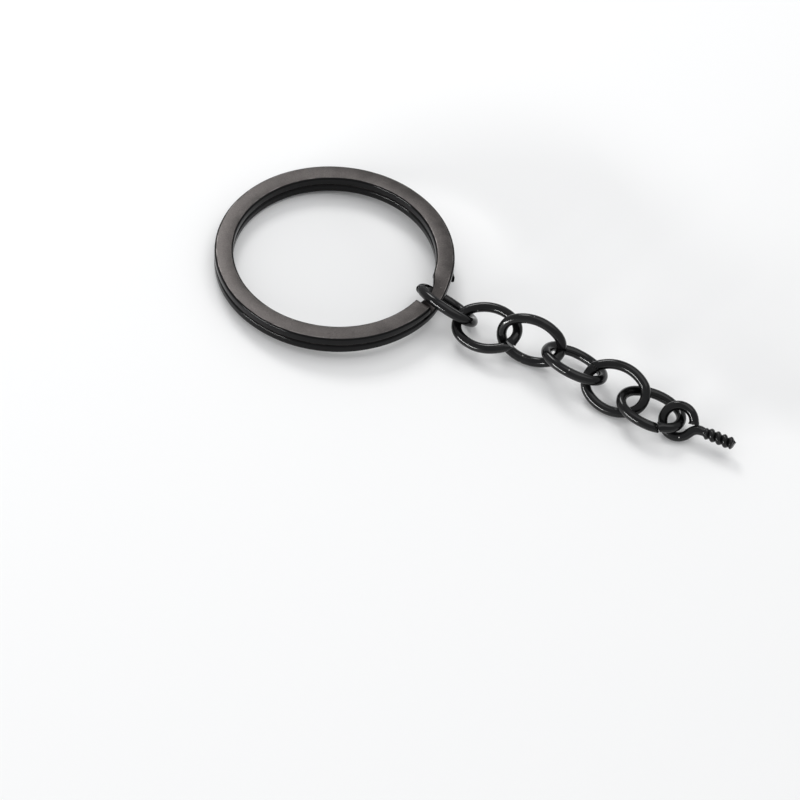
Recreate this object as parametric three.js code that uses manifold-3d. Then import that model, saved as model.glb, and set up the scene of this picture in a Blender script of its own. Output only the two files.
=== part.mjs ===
// A split key ring with a short chain of six oval links and a screw eye on its end.
//
// Millimetres, +Z up. The object lies on a table: the ring is at -X and the chain runs out along +X.
// The origin is the bottom centre of the whole object's box.

import * as THREE from 'three';
import { mergeVertices } from 'three/addons/utils/BufferGeometryUtils.js';
import Module from 'manifold-3d';

const wasm = await Module();
wasm.setup();

// ---------------------------------------------------------------- driving dimensions

const CLEARANCE = 0.3;            // left between two pieces that hang on each other

const RING_OUTER_DIAMETER = 30;
const RING_BAND_WIDTH = 2.35;     // flat face of the ring wire, from bore to rim
const RING_NECK_WIDTH = 1.75;     // the same face at the middle of the joggle, where links pass
const RING_COIL_HEIGHT = 1.15;    // thickness of the ring wire, which is one coil
const RING_COIL_GAP = 0.1;        // between the two coils at rest
const RING_EDGE_RADIUS = 0.32;    // rounded long edges of the ring wire
const RING_JOGGLE_ARC = 24;       // degrees over which the wire climbs from lower to upper coil
const RING_UPPER_END = 12.8;      // degrees before the joggle's middle where the upper coil stops
const RING_LOWER_END = 15.5;      // degrees past the joggle's middle where the lower coil starts

const LINK_LENGTH = 9;            // outside, crown to crown
const LINK_WIDTH = 6.9;          // outside, leg to leg
const LINK_WIRE = 1.25;
const LINK_CROWN_RADIUS = 2.35;   // of the wire's centre line
const LINK_JOINT_GAP = 0.2;       // between the two cut ends of a link's wire

const EYE_DIAMETER = 5.05;        // outside of the loop
const EYE_WIRE = 1.18;
const EYE_END_ANGLE = 10;         // degrees from the shank to the loop's cut end
const EYE_NECK_ANGLE = 34;        // degrees from the shank to where the neck leaves the loop
const EYE_NECK_BEND = 0.64;       // how far the wire's bend reaches on from the loop
const EYE_NECK_LENGTH = 0.85;     // loop's outside to the first thread
const THREAD_DIAMETER = 1.62;
const THREAD_ROOT = 1.06;
const THREAD_PITCH = 0.85;
const THREAD_TURNS = 4.5;
const THREAD_RUN_OUT = 0.5;       // turns over which the ridge sinks away at each end
const THREAD_CREST = 0.16;        // width of the flat along the crest
const THREAD_BASE = 0.61;         // width of the ridge where it meets the shank
const POINT_LENGTH = 0.3;         // blunt cone past the last thread
const POINT_DIAMETER = 0.35;      // flat at the end of the cone

// How each piece of the chain lies. Heading turns its long axis from +X towards +Y, lean rolls it
// about that axis and dip tips its far end down, all in degrees. Slack is how far its near crown
// is from pulling tight on the crown before it, and side how far it has slid along that crown.
// Lift is how many thicknesses of link wire its neighbours hold it off the table. Joint is where
// its own wire is cut, in degrees round the link from its far crown.
const CHAIN_LIES = [
  { name: 'chain_link_1', heading: -15, lean: -42, dip: 1, slack: 0.36, side: 0.1, lift: 0, joint: 205 },
  { name: 'chain_link_2', heading: 5, lean: 18, dip: -8.5, slack: 0.06, side: -0.6, lift: 0.89, joint: -24 },
  { name: 'chain_link_3', heading: 4, lean: 70, dip: 1, slack: 0.38, side: 0, lift: 0, joint: -31 },
  { name: 'chain_link_4', heading: -8, lean: -24, dip: 2, slack: 0.12, side: -0.14, lift: 0.73, joint: 150 },
  { name: 'chain_link_5', heading: -3, lean: 39, dip: -1, slack: 0.2, side: -0.3, lift: 0, joint: 160 },
  { name: 'chain_link_6', heading: 1, lean: -7, dip: 3, slack: 1.1, side: -0.6, lift: 0.88, joint: -58 },
];
const EYE_LIE = { name: 'screw_eye', heading: 0, lean: 50, dip: 1, side: 0, lift: 0 };
const EYE_PLAY_TAKEN = 0.83;      // share of the last link's play in the loop that is taken up

// How finely the wires' centre lines are compared where a piece is nudged clear of another.
const COURSE_POINTS = 160;
const LEAST_NUDGE = 0.02;
const MOST_NUDGES = 60;

// ---------------------------------------------------------------- fineness of the facets

const RING_STEPS_PER_TURN = 64;
const EDGE_SEGMENTS = 2;
const LINK_STEPS = 40;
const LINK_SIDES = 12;
const EYE_STEPS = 40;
const EYE_SIDES = 12;
const THREAD_STEPS_PER_TURN = 16;

// ---------------------------------------------------------------- derived sizes

const RING_OUTER_RADIUS = RING_OUTER_DIAMETER / 2;
const RING_BORE_RADIUS = RING_OUTER_RADIUS - RING_BAND_WIDTH;
const RING_MID_RADIUS = RING_OUTER_RADIUS - RING_BAND_WIDTH / 2;
const RING_COIL_PITCH = RING_COIL_HEIGHT + RING_COIL_GAP;

const LINK_HALF_LENGTH = (LINK_LENGTH - LINK_WIRE) / 2;   // to the wire's centre line
const LINK_HALF_WIDTH = (LINK_WIDTH - LINK_WIRE) / 2;
const EYE_RADIUS = (EYE_DIAMETER - EYE_WIRE) / 2;
const EYE_PLAY = EYE_DIAMETER - 2 * EYE_WIRE - LINK_WIRE - 2 * CLEARANCE;
const THREAD_START = EYE_DIAMETER / 2 + EYE_NECK_LENGTH;  // from the loop's middle
const THREAD_HEIGHT = (THREAD_DIAMETER - THREAD_ROOT) / 2;

const TURN = 360;
const radians = THREE.MathUtils.degToRad;

// ---------------------------------------------------------------- materials

function blackPlating(color, roughness) {
  return new THREE.MeshStandardMaterial({ color, roughness, metalness: 0.85 });
}

// ---------------------------------------------------------------- shared helpers

// A wire's centre line that lies flat in its own XY plane.
class FlatWire extends THREE.Curve {
  constructor(outline, start = 0, end = 1) {
    super();
    this.outline = outline;
    this.start = start;
    this.end = end;
  }

  getPoint(t, target = new THREE.Vector3()) {
    const along = THREE.MathUtils.lerp(this.start, this.end, t);
    const point = this.outline.getPointAt(THREE.MathUtils.euclideanModulo(along, 1));
    return target.set(point.x, point.y, 0);
  }
}

function roundSection(diameter, sides) {
  const points = [];
  for (let i = 0; i < sides; i += 1) {
    const angle = ((i + 0.5) * 2 * Math.PI) / sides;
    points.push(new THREE.Vector2(Math.cos(angle), Math.sin(angle)).multiplyScalar(diameter / 2));
  }
  return new THREE.Shape(points);
}

function sweep(section, path, steps, curveSegments = 1) {
  return new THREE.ExtrudeGeometry(section, { extrudePath: path, steps, curveSegments });
}

// Frames along a path whose sections face the way that outwardAt gives, so that they never twist.
function framesAlong(path, segments, outwardAt) {
  const frames = { tangents: [], normals: [], binormals: [] };
  for (let i = 0; i <= segments; i += 1) {
    const tangent = path.getTangentAt(i / segments);
    const outward = outwardAt(path.getPointAt(i / segments)).normalize();
    frames.tangents.push(tangent);
    frames.normals.push(outward);
    frames.binormals.push(new THREE.Vector3().crossVectors(tangent, outward).normalize());
  }
  return frames;
}

function toSolid(geometry) {
  const bare = geometry.clone();
  bare.deleteAttribute('normal');
  bare.deleteAttribute('uv');
  const merged = mergeVertices(bare, 1e-4);
  return new wasm.Manifold(new wasm.Mesh({
    numProp: 3,
    vertProperties: new Float32Array(merged.attributes.position.array),
    triVerts: new Uint32Array(merged.index.array),
  }));
}

function toGeometry(solid) {
  const mesh = solid.getMesh();
  const geometry = new THREE.BufferGeometry();
  geometry.setAttribute('position', new THREE.BufferAttribute(mesh.vertProperties, 3));
  geometry.setIndex(new THREE.BufferAttribute(mesh.triVerts, 1));
  geometry.computeVertexNormals();
  return geometry;
}

// ---------------------------------------------------------------- split ring

// Height of the wire's middle at an angle that counts on from the lower coil into the upper one.
function coilHeightAt(degrees) {
  const climb = THREE.MathUtils.smoothstep(
    degrees, TURN - RING_JOGGLE_ARC / 2, TURN + RING_JOGGLE_ARC / 2);
  return RING_COIL_HEIGHT / 2 + climb * RING_COIL_PITCH;
}

// Width of the band, which necks in on the bore side through the joggle.
function bandWidthAt(degrees) {
  const fromMiddle = Math.abs(degrees - TURN) / (RING_JOGGLE_ARC / 2);
  const neck = 1 - THREE.MathUtils.smoothstep(fromMiddle, 0, 1);
  return THREE.MathUtils.lerp(RING_BAND_WIDTH, RING_NECK_WIDTH, neck);
}

// Two turns of flat wire, level but for the joggle where the lower turn climbs to the upper one.
class CoilPath extends THREE.Curve {
  getPoint(t, target = new THREE.Vector3()) {
    const degrees = THREE.MathUtils.lerp(RING_LOWER_END, 2 * TURN - RING_UPPER_END, t);
    const angle = radians(degrees);
    const radius = RING_OUTER_RADIUS - bandWidthAt(degrees) / 2;
    return target.set(radius * Math.cos(angle), radius * Math.sin(angle), coilHeightAt(degrees));
  }

  // Keeps the wire's flat faces level across the band, which a free-turning frame would not.
  computeFrenetFrames(segments) {
    const frames = framesAlong(this, segments, (point) => new THREE.Vector3(point.x, point.y, 0));
    for (let i = 0; i <= segments; i += 1) {
      const radius = Math.hypot(...this.getPointAt(i / segments).toArray().slice(0, 2));
      frames.normals[i].multiplyScalar(2 * (RING_OUTER_RADIUS - radius) / RING_BAND_WIDTH);
    }
    return frames;
  }
}

function flatWireSection() {
  const x = RING_BAND_WIDTH / 2 - RING_EDGE_RADIUS;
  const y = RING_COIL_HEIGHT / 2 - RING_EDGE_RADIUS;
  const section = new THREE.Shape();
  section.absarc(x, y, RING_EDGE_RADIUS, 0, Math.PI / 2);
  section.absarc(-x, y, RING_EDGE_RADIUS, Math.PI / 2, Math.PI);
  section.absarc(-x, -y, RING_EDGE_RADIUS, Math.PI, 1.5 * Math.PI);
  section.absarc(x, -y, RING_EDGE_RADIUS, 1.5 * Math.PI, 2 * Math.PI);
  return section;
}

function splitRing() {
  const path = new CoilPath();
  path.arcLengthDivisions = 2 * TURN;
  const geometry = sweep(flatWireSection(), path, 2 * RING_STEPS_PER_TURN, EDGE_SEGMENTS);
  const mesh = new THREE.Mesh(geometry, blackPlating('#2b2826', 0.38));
  mesh.name = 'split_ring';

  // The first link's lower leg runs under the joggle and carries that side of the ring.
  const tilt = Math.asin((LINK_WIRE + CLEARANCE) / (RING_OUTER_RADIUS + RING_MID_RADIUS));
  mesh.rotation.y = -tilt;
  mesh.position.z = RING_OUTER_RADIUS * Math.sin(tilt);
  mesh.updateMatrix();
  return mesh;
}

// ---------------------------------------------------------------- chain links

// An oval of four arcs: two crowns and two gently bowed legs, starting at the far crown.
function ovalOutline() {
  const crown = LINK_HALF_LENGTH - LINK_CROWN_RADIUS;
  const legRadius = (crown ** 2 + LINK_HALF_WIDTH ** 2 - LINK_CROWN_RADIUS ** 2)
    / (2 * (LINK_HALF_WIDTH - LINK_CROWN_RADIUS));
  const legCentre = legRadius - LINK_HALF_WIDTH;
  const turnIn = Math.atan2(legCentre, crown);
  const outline = new THREE.Path();
  outline.absarc(crown, 0, LINK_CROWN_RADIUS, 0, turnIn);
  outline.absarc(0, -legCentre, legRadius, turnIn, Math.PI - turnIn);
  outline.absarc(-crown, 0, LINK_CROWN_RADIUS, Math.PI - turnIn, Math.PI + turnIn);
  outline.absarc(0, legCentre, legRadius, Math.PI + turnIn, 2 * Math.PI - turnIn);
  outline.absarc(crown, 0, LINK_CROWN_RADIUS, -turnIn, 0);
  outline.arcLengthDivisions = TURN;
  return outline;
}

function chainLink(lie, outline) {
  const length = outline.getLength();
  const start = lie.joint / TURN + LINK_JOINT_GAP / 2 / length;
  const end = lie.joint / TURN + 1 - LINK_JOINT_GAP / 2 / length;
  const geometry = sweep(
    roundSection(LINK_WIRE, LINK_SIDES), new FlatWire(outline, start, end), LINK_STEPS);
  const mesh = new THREE.Mesh(geometry, blackPlating('#17161a', 0.3));
  mesh.name = lie.name;
  return mesh;
}

// ---------------------------------------------------------------- screw eye

// The loop from its cut end round to the neck, which bends back onto the shank's line.
function eyeOutline() {
  const neck = -radians(EYE_NECK_ANGLE);
  const leave = new THREE.Vector2(Math.cos(neck), Math.sin(neck)).multiplyScalar(EYE_RADIUS);
  const along = new THREE.Vector2(-Math.sin(neck), Math.cos(neck)).multiplyScalar(EYE_NECK_BEND);
  const outline = new THREE.Path();
  outline.absarc(0, 0, EYE_RADIUS, radians(EYE_END_ANGLE), 2 * Math.PI + neck);
  outline.bezierCurveTo(
    leave.x + along.x, leave.y + along.y, THREAD_START - EYE_WIRE, 0, THREAD_START, 0);
  return outline;
}

// The path of the thread's ridge, which sinks into the shank at both ends.
class ThreadPath extends THREE.Curve {
  getPoint(t, target = new THREE.Vector3()) {
    const turnsIn = Math.min(t, 1 - t) * THREAD_TURNS;
    const sunk = 1 - THREE.MathUtils.smoothstep(turnsIn, 0, THREAD_RUN_OUT);
    const radius = THREAD_ROOT / 2 - THREAD_HEIGHT * sunk;
    const angle = t * THREAD_TURNS * 2 * Math.PI;
    const along = THREAD_START + t * THREAD_TURNS * THREAD_PITCH;
    return target.set(along, radius * Math.cos(angle), radius * Math.sin(angle));
  }

  // Keeps the ridge's crest pointing straight away from the shank's axis.
  computeFrenetFrames(segments) {
    return framesAlong(this, segments, (point) => new THREE.Vector3(0, point.y, point.z));
  }
}

function threadRidge() {
  const buried = -THREAD_HEIGHT / 2;
  const section = new THREE.Shape([
    new THREE.Vector2(buried, -THREAD_BASE / 2),
    new THREE.Vector2(THREAD_HEIGHT, -THREAD_CREST / 2),
    new THREE.Vector2(THREAD_HEIGHT, THREAD_CREST / 2),
    new THREE.Vector2(buried, THREAD_BASE / 2),
  ]);
  return sweep(section, new ThreadPath(), THREAD_TURNS * THREAD_STEPS_PER_TURN);
}

// The shank under the thread, with its blunt point, turned about the X axis.
function shankCore() {
  const end = THREAD_START + THREAD_TURNS * THREAD_PITCH;
  const profile = [
    new THREE.Vector2(0, THREAD_START - EYE_WIRE),
    new THREE.Vector2(THREAD_ROOT / 2, THREAD_START - EYE_WIRE),
    new THREE.Vector2(THREAD_ROOT / 2, end),
    new THREE.Vector2(POINT_DIAMETER / 2, end + POINT_LENGTH),
    new THREE.Vector2(0, end + POINT_LENGTH),
  ];
  return new THREE.LatheGeometry(profile, EYE_SIDES).rotateZ(-Math.PI / 2);
}

function screwEye(lie) {
  const wire = sweep(roundSection(EYE_WIRE, EYE_SIDES), new FlatWire(eyeOutline()), EYE_STEPS);
  const solid = toSolid(wire).add(toSolid(shankCore())).add(toSolid(threadRidge()));
  const mesh = new THREE.Mesh(toGeometry(solid), blackPlating('#17161a', 0.34));
  mesh.name = lie.name;
  return mesh;
}

// ---------------------------------------------------------------- laying out the chain

function lowestPoint(mesh) {
  const point = new THREE.Vector3();
  const positions = mesh.geometry.attributes.position;
  let lowest = Infinity;
  for (let i = 0; i < positions.count; i += 1) {
    point.fromBufferAttribute(positions, i).applyEuler(mesh.rotation);
    lowest = Math.min(lowest, point.z);
  }
  return lowest;
}

// Points along the centre line of a wire that lies where its mesh does.
function courseOf(outline, mesh) {
  mesh.updateMatrix();
  const course = outline.getSpacedPoints(COURSE_POINTS);
  return course.map((point) => new THREE.Vector3(point.x, point.y, 0).applyMatrix4(mesh.matrix));
}

// Nudges a hooked piece clear of the two before it, away from every place where their wires are
// too near, but never down into the table.
function nudgeClear(mesh, outline, wire, before) {
  const apart = new THREE.Vector3();
  const away = new THREE.Vector3();
  const push = new THREE.Vector3();
  for (let i = 0; i < MOST_NUDGES; i += 1) {
    let most = 0;
    push.set(0, 0, 0);
    for (const point of courseOf(outline, mesh)) {
      let nearest = Infinity;
      for (const other of before.courses) {
        apart.subVectors(point, other);
        if (apart.lengthSq() < nearest) {
          nearest = apart.lengthSq();
          away.copy(apart);
        }
      }
      const short = CLEARANCE - (Math.sqrt(nearest) - (before.wire + wire) / 2);
      if (short > 0) {
        push.addScaledVector(away.normalize(), short);
        most = Math.max(most, short);
      }
    }
    if (most < LEAST_NUDGE) {
      return;
    }
    push.z = Math.max(push.z, 0);
    mesh.position.addScaledVector(push.normalize(), most);
  }
}

// Lays a piece on the table with its near crown hooked inside the far crown of the piece before.
// A crown is the middle of a wire's bend. A hook records the crown, heading, wire and course of
// the piece behind it, and that course together with the one before.
function hookOn(mesh, outline, lie, before, halfLength, wire) {
  mesh.rotation.set(radians(lie.lean), radians(lie.dip), radians(lie.heading), 'ZYX');
  const bearing = radians((before.heading + lie.heading) / 2);
  const ahead = new THREE.Vector3(Math.cos(bearing), Math.sin(bearing), 0);
  const back = (before.wire + wire) / 2 + CLEARANCE + lie.slack;
  const reach = new THREE.Vector3(halfLength, 0, 0).applyEuler(mesh.rotation);
  mesh.position.copy(before.crown).add(reach);
  mesh.position.addScaledVector(ahead, -back);
  mesh.position.x -= lie.side * Math.sin(bearing);
  mesh.position.y += lie.side * Math.cos(bearing);
  mesh.position.z = lie.lift * LINK_WIRE - lowestPoint(mesh);
  nudgeClear(mesh, outline, wire, before);
  const crown = mesh.position.clone().add(reach);
  const course = courseOf(outline, mesh);
  return { crown, heading: lie.heading, wire, course, courses: [...course, ...before.course] };
}

// ---------------------------------------------------------------- the whole object

const object = new THREE.Group();
const ring = splitRing();
object.add(ring);

const linkOutline = ovalOutline();
const neckRadius = RING_OUTER_RADIUS - RING_NECK_WIDTH / 2;
const joggle = new THREE.Vector3(neckRadius, 0, coilHeightAt(TURN)).applyMatrix4(ring.matrix);
let hook = { crown: joggle, heading: 0, wire: RING_NECK_WIDTH, course: [], courses: [] };
for (const lie of CHAIN_LIES) {
  const link = chainLink(lie, linkOutline);
  hook = hookOn(link, linkOutline, lie, hook, LINK_HALF_LENGTH, LINK_WIRE);
  object.add(link);
}
const eye = screwEye(EYE_LIE);
const eyeSlack = EYE_PLAY_TAKEN * EYE_PLAY;
hookOn(eye, eyeOutline(), { ...EYE_LIE, slack: eyeSlack }, hook, EYE_RADIUS, EYE_WIRE);
object.add(eye);

const box = new THREE.Box3().setFromObject(object, true);
const middle = box.getCenter(new THREE.Vector3());
object.position.set(-middle.x, -middle.y, -box.min.z);

export default object;
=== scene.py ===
"""A split key ring with a short chain of oval links and a screw eye, lying on a pale table.

Each piece is made in millimetres about its own middle, then laid where its CAD node lies.
"""
import math

import bmesh
import bpy
from mathutils import Euler, Matrix, Vector, noise


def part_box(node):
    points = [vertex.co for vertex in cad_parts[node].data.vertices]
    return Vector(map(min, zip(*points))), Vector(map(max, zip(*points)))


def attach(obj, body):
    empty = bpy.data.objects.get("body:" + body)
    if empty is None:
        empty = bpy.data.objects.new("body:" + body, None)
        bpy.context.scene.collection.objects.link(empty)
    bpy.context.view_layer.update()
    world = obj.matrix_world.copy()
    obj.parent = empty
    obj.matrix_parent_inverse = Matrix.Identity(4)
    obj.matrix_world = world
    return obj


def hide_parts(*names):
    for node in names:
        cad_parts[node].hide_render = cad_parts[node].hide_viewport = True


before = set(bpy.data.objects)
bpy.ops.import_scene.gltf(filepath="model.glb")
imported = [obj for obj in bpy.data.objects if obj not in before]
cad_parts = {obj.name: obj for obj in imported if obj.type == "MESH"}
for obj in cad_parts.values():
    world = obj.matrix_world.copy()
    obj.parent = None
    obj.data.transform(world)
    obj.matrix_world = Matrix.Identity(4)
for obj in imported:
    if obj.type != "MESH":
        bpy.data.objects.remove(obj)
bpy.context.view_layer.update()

MM = 0.001

# ------------------------------------------------------------------ sizes, in millimetres

RING_OUTER_RADIUS = 15.0
RING_BAND_WIDTH = 2.35
RING_NECK_WIDTH = 1.75
RING_COIL_HEIGHT = 1.15
RING_COIL_GAP = 0.1
RING_EDGE_RADIUS = 0.3
RING_JOGGLE_ARC = 24.0
RING_UPPER_END = 12.8
RING_LOWER_END = 15.5
RING_TILT = 3.0824
RING_END_SWELL = 0.17
RING_END_SWELL_ARC = 2.6

LINK_LENGTH = 9.0
LINK_WIDTH = 6.9
LINK_WIRE = 1.25
LINK_CROWN_RADIUS = 2.35
LINK_JOINT_GAP = 0.03
LINK_CUT_SLANT = 0.55

EYE_DIAMETER = 5.05
EYE_WIRE = 1.18
EYE_END_ANGLE = 10.0
EYE_NECK_ANGLE = 34.0
EYE_NECK_BEND = 1.4
THREAD_START = 3.375
THREAD_DIAMETER = 1.62
THREAD_ROOT = 1.06
THREAD_PITCH = 0.85
THREAD_TURNS = 4.5
THREAD_RUN_IN = 0.35
THREAD_RUN_OUT = 0.45
THREAD_OUTLINE_POINTS = 14
THREAD_STEPS = 36
SHANK_OVERLAP = 0.3
TIP_SQUEEZE = 0.3

# How each hanging piece lies: heading, lean and dip in degrees, and for a link the place of its
# wire's cut in degrees round from the far crown, and how far the two ends miss each other.
LIES = {
    "chain_link_1": (-15, -42, 1, 205, 0.08),
    "chain_link_2": (5, 18, -8.5, -24, 0.3),
    "chain_link_3": (4, 70, 1, -31, -0.16),
    "chain_link_4": (-8, -24, 2, 150, 0.28),
    "chain_link_5": (-3, 39, -1, 160, -0.24),
    "chain_link_6": (1, -7, 3, -58, 0.2),
    "screw_eye": (0, 50, 1, None, 0),
}


# ------------------------------------------------------------------ laying pieces on their nodes


def turned(heading, lean, dip):
    """The turn of a piece about its own middle."""
    turns = [math.radians(angle) for angle in (heading, dip, lean)]
    along = Matrix.Rotation(turns[0], 4, "Z") @ Matrix.Rotation(turns[1], 4, "Y")
    return along @ Matrix.Rotation(turns[2], 4, "X")


def laid_on(node, turn, anchor):
    """Puts a piece's own axes where its CAD node lies, in metres.

    anchor takes the node's lowest and highest corners along those axes, in millimetres, and gives
    the point that is the piece's middle.
    """
    back = turn.inverted()
    corners = [back @ vert.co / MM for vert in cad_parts[node].data.vertices]
    low = Vector(min(corner[axis] for corner in corners) for axis in range(3))
    high = Vector(max(corner[axis] for corner in corners) for axis in range(3))
    return Matrix.Scale(MM, 4) @ turn @ Matrix.Translation(anchor(low, high))


def middle(low, high):
    return (low + high) / 2


def bore_middle(low, high):
    return Vector(((low.x + high.x) / 2, (low.y + high.y) / 2, low.z))


def loop_middle(low, high):
    return Vector((low.x + EYE_DIAMETER / 2, (low.y + high.y) / 2, (low.z + high.z) / 2))


# ------------------------------------------------------------------ wire forming


def smoothstep(value, low=0.0, high=1.0):
    share = min(1.0, max(0.0, (value - low) / (high - low)))
    return share * share * (3 - 2 * share)


def new_wire():
    """A mesh that keeps, for each point, its place along the wire and across its section."""
    bm = bmesh.new()
    bm.verts.layers.float_vector.new("wire")
    bm.verts.layers.float.new("rub")
    return bm


def flat_section(bm, width, height, edge_radius, segments=6):
    """A flat wire's outline with rounded corners, its width along X and its height along Y."""
    bmesh.ops.create_grid(bm, x_segments=1, y_segments=1, size=0.5)
    bmesh.ops.scale(bm, vec=(width, height, 1), verts=bm.verts)
    bmesh.ops.bevel(
        bm, geom=bm.verts[:], offset=edge_radius, offset_type="OFFSET", segments=segments,
        profile=0.5, affect="VERTICES", material=-1)
    bmesh.ops.delete(bm, geom=bm.faces[:], context="FACES_ONLY")


def round_section(bm, diameter, sides):
    bmesh.ops.create_circle(bm, cap_ends=False, segments=sides, radius=diameter / 2)


def note_section(bm):
    wire = bm.verts.layers.float_vector["wire"]
    for vert in bm.verts:
        vert[wire] = (0, vert.co.x, vert.co.y)


def pull(bm, stations):
    """Draws the section through the stations, each a placing and a length along the wire.

    Gives the two caps that close the wire's ends.
    """
    note_section(bm)
    wire = bm.verts.layers.float_vector["wire"]
    first = bm.edges[:]
    edges = first
    bmesh.ops.transform(bm, matrix=stations[0][0], verts=bm.verts)
    for (before, _), (after, along) in zip(stations, stations[1:]):
        made = bmesh.ops.extrude_edge_only(bm, edges=edges)["geom"]
        verts = {item for item in made if isinstance(item, bmesh.types.BMVert)}
        edges = [
            item for item in made
            if isinstance(item, bmesh.types.BMEdge) and verts.issuperset(item.verts)]
        bmesh.ops.transform(bm, matrix=after @ before.inverted(), verts=list(verts))
        for vert in verts:
            vert[wire] = (along, vert[wire].y, vert[wire].z)
    caps = [
        bmesh.ops.contextual_create(bm, geom=rim)["faces"][0] for rim in (first, edges)]
    bmesh.ops.recalc_face_normals(bm, faces=bm.faces[:])
    return caps


def ease_caps(bm, caps, radius, hollow=0.0):
    """Rounds the rims of cut ends a little and dishes the cut faces."""
    rims = {edge for cap in caps for edge in cap.edges}
    bmesh.ops.bevel(
        bm, geom=list(rims), offset=radius, offset_type="OFFSET", segments=3, profile=0.5,
        affect="EDGES", clamp_overlap=True, material=-1)
    for cap in sorted(bm.faces, key=lambda face: len(face.verts))[-len(caps):]:
        bmesh.ops.inset_individual(bm, faces=[cap], thickness=radius * 2.2)
        bmesh.ops.translate(bm, vec=-cap.normal * hollow, verts=cap.verts[:])


def placed(position, heading, across_scale=1.0, height_scale=1.0):
    """A station on the XY plane: the section's X looks right of the heading and its Y looks up."""
    along = Vector((math.cos(heading), math.sin(heading), 0))
    right = Vector((along.y, -along.x, 0))
    up = Vector((0, 0, 1))
    turn = Matrix((right, up, -along)).transposed().to_4x4()
    sizes = Matrix.Diagonal((across_scale, height_scale, 1, 1))
    return Matrix.Translation(position) @ turn @ sizes


def bent(position, heading, bends, step=0.16):
    """Feeds wire forward and bends it in the XY plane.

    Each bend is a radius, turning left if it is above zero, and degrees, or None and a straight
    length. Gives a list of point, heading and length along.
    """
    point = Vector(position)
    along = 0.0
    course = [(point.copy(), heading, along)]
    for radius, amount in bends:
        length = amount if radius is None else abs(radius) * math.radians(amount)
        count = max(1, round(length / step))
        for _ in range(count):
            turn = 0.0 if radius is None else length / count / radius
            chord = length / count
            if turn:
                chord = 2 * abs(radius) * math.sin(abs(turn) / 2)
            forward = heading + turn / 2
            point = point + chord * Vector((math.cos(forward), math.sin(forward), 0))
            heading += turn
            along += length / count
            course.append((point.copy(), heading, along))
    return course


def nick(bm, amount, scale, seed, reach=None):
    """Moves points a little by smooth noise, all over or where reach says."""
    wire = bm.verts.layers.float_vector["wire"]
    for vert in bm.verts:
        strength = amount * (1.0 if reach is None else reach(vert[wire]))
        if strength > 0:
            vert.co += strength * noise.noise_vector(vert.co * scale + Vector((seed, 0, 0)))


def finished(bm, name, placing, body, node, material):
    """Lays the mesh in place and makes it a piece that stands for its CAD node."""
    bmesh.ops.transform(bm, matrix=placing, verts=bm.verts)
    for face in bm.faces:
        face.smooth = True
    mesh = bpy.data.meshes.new(name)
    bm.to_mesh(mesh)
    bm.free()
    mesh.materials.append(material)
    piece = bpy.data.objects.new(name, mesh)
    bpy.context.collection.objects.link(piece)
    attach(piece, body)
    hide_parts(node)
    return piece


# ------------------------------------------------------------------ split ring


def coil_height(degrees):
    half = RING_JOGGLE_ARC / 2
    climb = smoothstep(degrees, 360 - half, 360 + half)
    return RING_COIL_HEIGHT / 2 + climb * (RING_COIL_HEIGHT + RING_COIL_GAP)


def band_width(degrees):
    neck = 1 - smoothstep(abs(degrees - 360) / (RING_JOGGLE_ARC / 2))
    return RING_BAND_WIDTH + (RING_NECK_WIDTH - RING_BAND_WIDTH) * neck


def ring_stations():
    """Two turns of flat wire, with the lower end swollen a little where it was pinched off."""
    stations = []
    along = 0.0
    start, end = RING_LOWER_END, 720 - RING_UPPER_END
    count = round((end - start) / 1.5)
    for i in range(count + 1):
        degrees = start + (end - start) * i / count
        angle = math.radians(degrees)
        width = band_width(degrees)
        swell = RING_END_SWELL * (1 - smoothstep(degrees, start, start + RING_END_SWELL_ARC))
        radius = RING_OUTER_RADIUS - width / 2
        point = Vector((radius * math.cos(angle), radius * math.sin(angle), coil_height(degrees)))
        across = width / RING_BAND_WIDTH * (1 + swell)
        stations.append((placed(point, angle + math.pi / 2, across), along))
        along += math.radians((end - start) / count) * radius
    return stations


def split_ring(material):
    bm = new_wire()
    flat_section(bm, RING_BAND_WIDTH, RING_COIL_HEIGHT, RING_EDGE_RADIUS)
    stations = ring_stations()
    caps = pull(bm, stations)
    ease_caps(bm, caps, 0.05, hollow=0.03)
    length = stations[-1][1]
    nick(bm, 0.012, 0.35, 3)
    nick(bm, 0.05, 2.6, 8, lambda wire: 1 - smoothstep(wire.x, 0.1, 0.9))
    nick(bm, 0.02, 2.6, 5, lambda wire: smoothstep(wire.x, length - 0.4, length))
    placing = laid_on(
        "split_ring", Matrix.Rotation(-math.radians(RING_TILT), 4, "Y"), bore_middle)
    return finished(
        bm, "split_ring_wire", placing, "split_ring", "split_ring", material)


# ------------------------------------------------------------------ chain links


def oval_course():
    """The centre line of a link, from its far crown all the way round."""
    half_length = (LINK_LENGTH - LINK_WIRE) / 2
    half_width = (LINK_WIDTH - LINK_WIRE) / 2
    crown = half_length - LINK_CROWN_RADIUS
    leg = (crown ** 2 + half_width ** 2 - LINK_CROWN_RADIUS ** 2) / (
        2 * (half_width - LINK_CROWN_RADIUS))
    turn_in = math.degrees(math.atan2(leg - half_width, crown))
    bends = [
        (LINK_CROWN_RADIUS, turn_in),
        (leg, 180 - 2 * turn_in),
        (LINK_CROWN_RADIUS, 2 * turn_in),
        (leg, 180 - 2 * turn_in),
        (LINK_CROWN_RADIUS, turn_in),
    ]
    return bent((half_length, 0, 0), math.pi / 2, bends)


def cut_open(course, joint, gap):
    """Starts a closed course at its joint and leaves the joint's gap between its ends."""
    length = course[-1][2]
    start = joint / 360 % 1 * length
    opened = []
    for turn in (0, 1):
        for point, heading, along in course[:-1]:
            place = along - start + turn * length
            if gap / 2 < place < length - gap / 2:
                opened.append((point, heading + turn * 2 * math.pi, place))
    return opened, length


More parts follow.
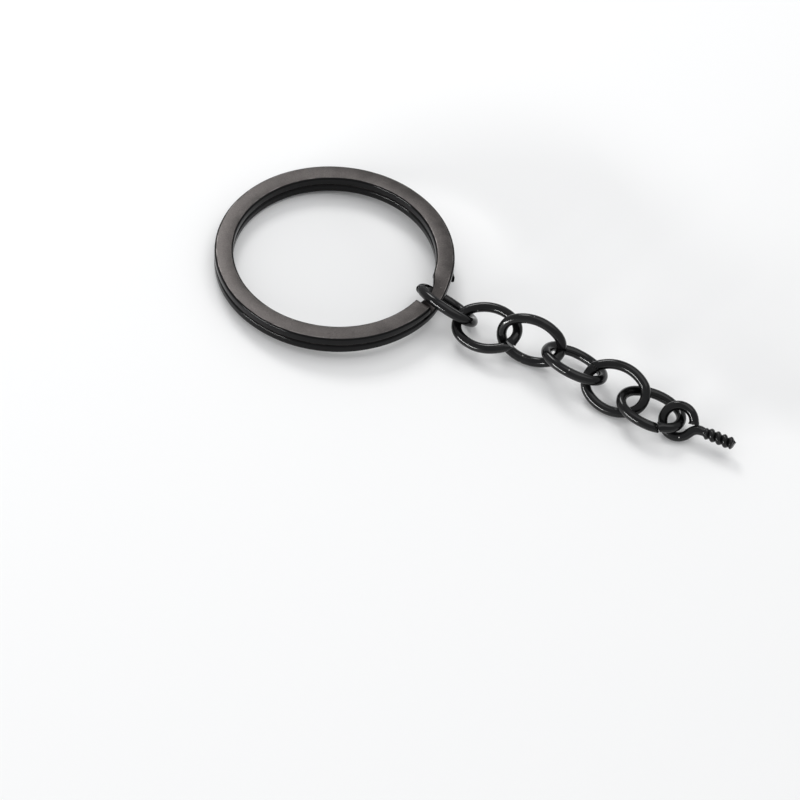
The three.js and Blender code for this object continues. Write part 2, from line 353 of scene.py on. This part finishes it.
def link_stations(course, length, miss):
    """The ends are cut on the slant, pinched by the cutter and bent a little out of line."""
    stations = []
    for point, heading, along in course:
        from_end = min(along, length - along)
        pinch = 1 - smoothstep(from_end, 0.0, 0.6)
        side = 1 if along < length / 2 else -1
        offset = Vector((0, 0, side * miss / 2 * (1 - smoothstep(from_end, 0.0, 2.4))))
        slant = Matrix.Identity(4)
        slant[2][1] = LINK_CUT_SLANT * (1 - smoothstep(from_end, 0.0, 1.5))
        place = placed(point + offset, heading, 1 + 0.12 * pinch, 1 - 0.22 * pinch)
        stations.append((place @ slant, along))
    return stations


def rub_crowns(bm, half_length):
    """Marks the inner side of both crowns, where the neighbours rub."""
    rub = bm.verts.layers.float["rub"]
    wire = bm.verts.layers.float_vector["wire"]
    for vert in bm.verts:
        at_crown = smoothstep(abs(vert.co.x), half_length * 0.72, half_length * 0.96)
        vert[rub] = at_crown * smoothstep(-vert[wire].y, 0.1, LINK_WIRE / 2)


def chain_link(name, material, seed):
    heading, lean, dip, joint, miss = LIES[name]
    course, length = cut_open(oval_course(), joint, LINK_JOINT_GAP)
    bm = new_wire()
    round_section(bm, LINK_WIRE, 28)
    caps = pull(bm, link_stations(course, length, miss))
    ease_caps(bm, caps, 0.045, hollow=0.04)
    rub_crowns(bm, (LINK_LENGTH - LINK_WIRE) / 2)
    nick(bm, 0.012, 0.5, seed)
    nick(
        bm, 0.075, 3.4, seed + 2,
        lambda wire: 1 - smoothstep(min(wire.x, length - wire.x), 0.0, 0.5))
    placing = laid_on(name, turned(heading, lean, dip), middle)
    body = name.replace("chain_", "")
    return finished(bm, name + "_wire", placing, body, name, material)


# ------------------------------------------------------------------ screw eye


def eye_course():
    """The loop from its cut end round to the neck, which bends back onto the shank's line."""
    radius = (EYE_DIAMETER - EYE_WIRE) / 2
    start = math.radians(EYE_END_ANGLE)
    back = 90 - EYE_NECK_ANGLE
    rise = radius * math.sin(math.radians(EYE_NECK_ANGLE))
    rise -= EYE_NECK_BEND * (1 - math.cos(math.radians(back)))
    bends = [
        (radius, 360 - EYE_NECK_ANGLE - EYE_END_ANGLE),
        (None, rise / math.sin(math.radians(back))),
        (-EYE_NECK_BEND, back),
    ]
    point = (radius * math.cos(start), radius * math.sin(start), 0)
    course = bent(point, start + math.pi / 2, bends, step=0.14)
    reach = course[-1][0].x
    ahead = bent(course[-1][0], 0.0, [(None, THREAD_START + SHANK_OVERLAP - reach)], step=0.14)
    length = course[-1][2]
    return course + [(spot, turn, length + more) for spot, turn, more in ahead[1:]]


def eye_stations():
    stations = []
    course = eye_course()
    for point, heading, along in course:
        pinch = 1 - smoothstep(along, 0.0, 0.6)
        taper = 1 - 0.12 * smoothstep(course[-1][2] - along, 0.9, 0.0) if along else 1.0
        wide = (1 + 0.08 * pinch) * taper
        stations.append((placed(point, heading, wide, (1 - 0.28 * pinch) * taper), along))
    return stations


def threaded_shank(bm):
    """One pitch of the thread's outline, drawn round the shank in a helix and tapered shut."""
    root, crest = THREAD_ROOT / 2, THREAD_DIAMETER / 2
    first = THREAD_START - THREAD_RUN_IN
    points = THREAD_OUTLINE_POINTS
    outline = []
    for i in range(points + 1):
        ridge = 0.5 - 0.5 * math.cos(2 * math.pi * i / points)
        outline.append((THREAD_PITCH * i / points, root + (crest - root) * ridge ** 0.55))
    verts = [bm.verts.new((first + x, y, 0)) for x, y in outline]
    edges = [bm.edges.new(pair) for pair in zip(verts, verts[1:])]
    steps = THREAD_STEPS
    turns = THREAD_TURNS + THREAD_RUN_OUT
    bmesh.ops.spin(
        bm, geom=verts + edges, cent=(0, 0, 0), axis=(1, 0, 0),
        dvec=(THREAD_PITCH / steps, 0, 0), angle=2 * math.pi * turns,
        steps=round(steps * turns), use_merge=False, use_duplicate=False)
    bmesh.ops.remove_doubles(bm, verts=bm.verts[:], dist=0.002)
    last = first + turns * THREAD_PITCH
    wire = bm.verts.layers.float_vector["wire"]
    for vert in bm.verts:
        x = vert.co.x
        vert.co.x = min(x, last) + TIP_SQUEEZE * max(0.0, x - last)
        radius = math.hypot(vert.co.y, vert.co.z)
        vert[wire] = (x + 14, vert.co.y, vert.co.z)
        ridge = smoothstep(x, first + 0.3, first + 0.9) * (1 - smoothstep(x, last - 0.3, last + 0.4))
        wanted = min(radius, root) + max(0.0, radius - root) * ridge
        wanted *= 1 - 0.25 * smoothstep(x, last - 0.3, last + 0.8)
        vert.co.y *= wanted / radius
        vert.co.z *= wanted / radius
    open_rims = [edge for edge in bm.edges if edge.is_boundary]
    bmesh.ops.holes_fill(bm, edges=open_rims, sides=0)
    bmesh.ops.triangulate(bm, faces=[face for face in bm.faces if len(face.verts) > 4])
    bmesh.ops.recalc_face_normals(bm, faces=bm.faces[:])


def screw_eye(material):
    bm = new_wire()
    round_section(bm, EYE_WIRE, 28)
    caps = pull(bm, eye_stations())
    ease_caps(bm, caps, 0.05, hollow=0.03)
    nick(bm, 0.012, 0.5, 31)
    nick(bm, 0.09, 3.4, 33, lambda wire: 1 - smoothstep(wire.x, 0.0, 0.5))
    shank = new_wire()
    threaded_shank(shank)
    nick(shank, 0.016, 2.2, 41)
    nick(shank, 0.08, 2.6, 44, lambda wire: smoothstep(wire.x, 20.6, 21.4))
    spare = bpy.data.meshes.new("shank")
    shank.to_mesh(spare)
    shank.free()
    bm.from_mesh(spare)
    bpy.data.meshes.remove(spare)
    heading, lean, dip, _, _ = LIES["screw_eye"]
    placing = laid_on("screw_eye", turned(heading, lean, dip), loop_middle)
    return finished(
        bm, "screw_eye_wire", placing, "screw_eye", "screw_eye", material)


# ------------------------------------------------------------------ finishes


def new_group(name, inputs, outputs):
    group = bpy.data.node_groups.new(name, "ShaderNodeTree")
    for label, kind, value in inputs:
        socket = group.interface.new_socket(label, in_out="INPUT", socket_type=kind)
        if value is not None:
            socket.default_value = value
    for label, kind in outputs:
        group.interface.new_socket(label, in_out="OUTPUT", socket_type=kind)
    return group, group.nodes.new("NodeGroupInput"), group.nodes.new("NodeGroupOutput")


def math_node(tree, operation, first, second=None, third=None):
    node = tree.nodes.new("ShaderNodeMath")
    node.operation = operation
    for slot, value in zip(node.inputs, (first, second, third)):
        if value is None:
            continue
        if isinstance(value, (int, float)):
            slot.default_value = value
        else:
            tree.links.new(value, slot)
    return node.outputs[0]


def noise_node(tree, vector, scale, detail=2.0, roughness=0.5):
    node = tree.nodes.new("ShaderNodeTexNoise")
    node.inputs["Detail"].default_value = detail
    node.inputs["Roughness"].default_value = roughness
    for slot, value in (("Vector", vector), ("Scale", scale)):
        if isinstance(value, (int, float)):
            node.inputs[slot].default_value = value
        else:
            tree.links.new(value, node.inputs[slot])
    return node.outputs["Fac"]


def ramp_node(tree, value, low, high, to_low=0.0, to_high=1.0):
    node = tree.nodes.new("ShaderNodeMapRange")
    node.interpolation_type = "SMOOTHSTEP"
    for slot, amount in zip(node.inputs, (value, low, high, to_low, to_high)):
        if isinstance(amount, (int, float)):
            slot.default_value = amount
        else:
            tree.links.new(amount, slot)
    return node.outputs["Result"]


def coating_skin():
    """The skin of a plated or baked coat: orange peel, fine grain and cloudy dullness."""
    group, start, end = new_group(
        "coating_skin",
        [("Vector", "NodeSocketVector", None), ("Peel Scale", "NodeSocketFloat", 1400.0),
         ("Grain Scale", "NodeSocketFloat", 9000.0), ("Grain", "NodeSocketFloat", 0.3)],
        [("Height", "NodeSocketFloat"), ("Cloud", "NodeSocketFloat"), ("Grain", "NodeSocketFloat")])
    peel = noise_node(group, start.outputs["Vector"], start.outputs["Peel Scale"], 2.0)
    grain = noise_node(group, start.outputs["Vector"], start.outputs["Grain Scale"], 3.0, 0.65)
    cloud = noise_node(group, start.outputs["Vector"], 420.0, 4.0, 0.55)
    fine = math_node(group, "MULTIPLY", grain, start.outputs["Grain"])
    group.links.new(math_node(group, "ADD", peel, fine), end.inputs["Height"])
    group.links.new(ramp_node(group, cloud, 0.32, 0.68), end.inputs["Cloud"])
    group.links.new(grain, end.inputs["Grain"])
    return group


def dust_specks():
    """A few pale specks of dust and lint caught on the coat."""
    group, start, end = new_group(
        "dust_specks",
        [("Vector", "NodeSocketVector", None), ("Scale", "NodeSocketFloat", 1500.0),
         ("Share", "NodeSocketFloat", 0.06)],
        [("Mask", "NodeSocketFloat")])
    cells = group.nodes.new("ShaderNodeTexVoronoi")
    group.links.new(start.outputs["Vector"], cells.inputs["Vector"])
    group.links.new(start.outputs["Scale"], cells.inputs["Scale"])
    split = group.nodes.new("ShaderNodeSeparateColor")
    group.links.new(cells.outputs["Color"], split.inputs["Color"])
    chosen = math_node(group, "LESS_THAN", split.outputs[0], start.outputs["Share"])
    spot = ramp_node(group, cells.outputs["Distance"], 0.07, 0.16, 1.0, 0.0)
    group.links.new(math_node(group, "MULTIPLY", chosen, spot), end.inputs["Mask"])
    return group


def wear_and_highlight_lines():
    """Patches that come and go along a given line: rubbed wear on the chain's crowns, and on the
    ring's edges wear together with a painted highlight line.
    """
    group, start, end = new_group(
        "wear_and_highlight_lines",
        [("Vector", "NodeSocketVector", None), ("Line", "NodeSocketFloat", 0.0),
         ("Scale", "NodeSocketFloat", 900.0)],
        [("Mask", "NodeSocketFloat")])
    patch = noise_node(group, start.outputs["Vector"], start.outputs["Scale"], 5.0, 0.62)
    broken = ramp_node(group, patch, 0.42, 0.66)
    group.links.new(
        math_node(group, "MULTIPLY", broken, start.outputs["Line"]), end.inputs["Mask"])
    return group


def placed_group(tree, group, **values):
    node = tree.nodes.new("ShaderNodeGroup")
    node.node_tree = group
    for label, value in values.items():
        slot = node.inputs[label.replace("_", " ")]
        if isinstance(value, (int, float)):
            slot.default_value = value
        else:
            tree.links.new(value, slot)
    return node


def colour_mix(tree, factor, first, second):
    node = tree.nodes.new("ShaderNodeMix")
    node.data_type = "RGBA"
    tree.links.new(factor, node.inputs["Factor"])
    for slot, value in ((node.inputs[6], first), (node.inputs[7], second)):
        if isinstance(value, tuple):
            slot.default_value = (*value, 1.0)
        else:
            tree.links.new(value, slot)
    return node.outputs[2]


def new_material(name, specular):
    material = bpy.data.materials.new(name)
    material.use_nodes = True
    tree = material.node_tree
    shader = tree.nodes["Principled BSDF"]
    shader.inputs["Specular IOR Level"].default_value = specular
    return material, tree, shader


def wire_coordinates(tree):
    node = tree.nodes.new("ShaderNodeAttribute")
    node.attribute_name = "wire"
    return node.outputs["Vector"]


def bump(tree, shader, height, strength, distance):
    node = tree.nodes.new("ShaderNodeBump")
    node.inputs["Strength"].default_value = strength
    node.inputs["Distance"].default_value = distance
    tree.links.new(height, node.inputs["Height"])
    tree.links.new(node.outputs["Normal"], shader.inputs["Normal"])


def object_coordinates(tree):
    return tree.nodes.new("ShaderNodeTexCoord").outputs["Object"]


def ring_finish(skin, specks, wear_and_highlight):
    """Black plating, dull brown-grey on the tumbled flat faces and glossy on the drawn sides."""
    material, tree, shader = new_material("ring_black_plating", 0.16)
    spot = object_coordinates(tree)
    section = tree.nodes.new("ShaderNodeSeparateXYZ")
    tree.links.new(wire_coordinates(tree), section.inputs[0])
    off_middle = math_node(tree, "ABSOLUTE", section.outputs["Z"])
    off_centre = math_node(tree, "ABSOLUTE", section.outputs["Y"])
    flat = ramp_node(tree, off_middle, RING_COIL_HEIGHT / 2 - 0.035, RING_COIL_HEIGHT / 2 - 0.003)
    shoulder = RING_BAND_WIDTH / 2 - RING_EDGE_RADIUS
    # Edge line where the flat faces meet the rounded edges: it carries rubbed wear and a painted
    # highlight line.
    near_edge = ramp_node(tree, off_centre, shoulder - 0.06, shoulder + 0.04)
    edge = math_node(tree, "MULTIPLY", flat, near_edge)
    coat = placed_group(tree, skin, Vector=spot, Peel_Scale=1100.0, Grain_Scale=7000.0, Grain=0.8)
    worn = placed_group(tree, wear_and_highlight, Vector=spot, Line=edge, Scale=700.0)
    dust = placed_group(tree, specks, Vector=spot, Scale=1300.0, Share=0.03)
    face = colour_mix(tree, coat.outputs["Cloud"], (0.085, 0.077, 0.074), (0.122, 0.11, 0.106))
    grained = colour_mix(tree, coat.outputs["Grain"], (0.022, 0.021, 0.02), face)
    sided = colour_mix(tree, flat, (0.002, 0.002, 0.0022), grained)
    # Lighter colour along the flat faces' edges: partly rubbed bare metal, partly a painted
    # highlight line standing in for the edge's glint.
    bare_and_highlit = colour_mix(tree, worn.outputs["Mask"], sided, (0.13, 0.121, 0.117))
    dusty = colour_mix(tree, dust.outputs["Mask"], bare_and_highlit, (0.24, 0.23, 0.215))
    tree.links.new(dusty, shader.inputs["Base Color"])
    tree.links.new(math_node(tree, "MULTIPLY", flat, 0.75), shader.inputs["Metallic"])
    dull = ramp_node(tree, flat, 0.0, 1.0, 0.08, 0.32)
    cloudy = math_node(tree, "MULTIPLY_ADD", coat.outputs["Cloud"], 0.07, dull)
    tree.links.new(cloudy, shader.inputs["Roughness"])
    bump(tree, shader, coat.outputs["Height"], 0.12, 0.00004)
    return material


def chain_finish(skin, specks, wear_and_highlight):
    """Black plating on round wire: satin, with orange peel and rubbed crowns."""
    material, tree, shader = new_material("chain_black_plating", 0.3)
    spot = object_coordinates(tree)
    rub = tree.nodes.new("ShaderNodeAttribute")
    rub.attribute_name = "rub"
    coat = placed_group(tree, skin, Vector=spot, Peel_Scale=1700.0, Grain_Scale=8000.0, Grain=0.35)
    worn = placed_group(tree, wear_and_highlight, Vector=spot, Line=rub.outputs["Fac"], Scale=1100.0)
    dust = placed_group(tree, specks, Vector=spot, Scale=1500.0, Share=0.045)
    base = colour_mix(tree, coat.outputs["Cloud"], (0.002, 0.002, 0.0022), (0.004, 0.004, 0.0043))
    bare = colour_mix(tree, worn.outputs["Mask"], base, (0.028, 0.026, 0.025))
    dusty = colour_mix(tree, dust.outputs["Mask"], bare, (0.35, 0.34, 0.33))
    tree.links.new(dusty, shader.inputs["Base Color"])
    cloudy = math_node(tree, "MULTIPLY_ADD", coat.outputs["Cloud"], 0.07, 0.1)
    dull = math_node(tree, "MULTIPLY_ADD", dust.outputs["Mask"], 0.4, cloudy)
    tree.links.new(dull, shader.inputs["Roughness"])
    bump(tree, shader, coat.outputs["Height"], 0.12, 0.00004)
    return material


def table_finish():
    material, _, shader = new_material("pale_table", 0.25)
    shader.inputs["Base Color"].default_value = (0.9, 0.9, 0.895, 1)
    shader.inputs["Roughness"].default_value = 0.55
    return material


# ------------------------------------------------------------------ studio


def table_top():
    bm = bmesh.new()
    bmesh.ops.create_grid(bm, x_segments=1, y_segments=1, size=3.0)
    mesh = bpy.data.meshes.new("table")
    bm.to_mesh(mesh)
    bm.free()
    mesh.materials.append(table_finish())
    table = bpy.data.objects.new("table", mesh)
    bpy.context.collection.objects.link(table)


def direction(azimuth, elevation):
    """From the object towards a place, with azimuth 0 in front and 90 to the right."""
    turn, rise = math.radians(azimuth), math.radians(elevation)
    return Vector((
        math.sin(turn) * math.cos(rise), -math.cos(turn) * math.cos(rise), math.sin(rise)))


def softbox(name, azimuth, elevation, distance, width, height, watts):
    light = bpy.data.lights.new(name, "AREA")
    light.shape = "RECTANGLE"
    light.size, light.size_y = width, height
    light.energy = watts
    lamp = bpy.data.objects.new(name, light)
    away = direction(azimuth, elevation)
    lamp.location = away * distance
    lamp.rotation_mode = "QUATERNION"
    lamp.rotation_quaternion = away.to_track_quat("Z", "Y")
    bpy.context.collection.objects.link(lamp)


def studio():
    world = bpy.data.worlds.new("studio")
    bpy.context.scene.world = world
    world.use_nodes = True
    world.node_tree.nodes["Background"].inputs["Color"].default_value = (0.97, 0.98, 1, 1)
    world.node_tree.nodes["Background"].inputs["Strength"].default_value = 0.575
    softbox("window", -34, 7, 1.0, 0.7, 0.045, 10.5)
    softbox("overhead", 150, 72, 1.2, 1.0, 1.0, 4.0)
    softbox("side", -135, 44, 0.39, 0.12, 0.12, 0.4)
    bpy.context.scene.view_settings.view_transform = "Standard"


def camera():
    """Looks at the ring from the viewing angle, with the ring up and left of the middle."""
    azimuth, elevation, roll, distance = 19.25, 47.55, -8.0, 0.5
    aside, below = 0.00834, 0.01703
    back = direction(azimuth, elevation)
    level = Vector((math.cos(math.radians(azimuth)), math.sin(math.radians(azimuth)), 0))
    upright = back.cross(level)
    tip = math.radians(roll)
    right = math.cos(tip) * level - math.sin(tip) * upright
    up = math.sin(tip) * level + math.cos(tip) * upright
    low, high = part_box("split_ring")
    ring = Vector(((low.x + high.x) / 2, (low.y + high.y) / 2, 0.0008))
    place = ring + distance * back
    towards = (place - ring - aside * right + below * up).normalized()
    right = (right - right.dot(towards) * towards).normalized()
    up = towards.cross(right)
    view = bpy.data.cameras.new("camera")
    view.lens = 179.8
    view.clip_start, view.clip_end = 0.01, 20
    eye = bpy.data.objects.new("camera", view)
    eye.matrix_world = (
        Matrix.Translation(place) @ Matrix((right, up, towards)).transposed().to_4x4())
    bpy.context.collection.objects.link(eye)
    bpy.context.scene.camera = eye


# ------------------------------------------------------------------ the whole scene

camera()
studio()
table_top()

skin, specks, wear_and_highlight = coating_skin(), dust_specks(), wear_and_highlight_lines()
split_ring(ring_finish(skin, specks, wear_and_highlight))
chain_black = chain_finish(skin, specks, wear_and_highlight)
for number in range(1, 7):
    chain_link(f"chain_link_{number}", chain_black, 11 * number)
screw_eye(chain_black)
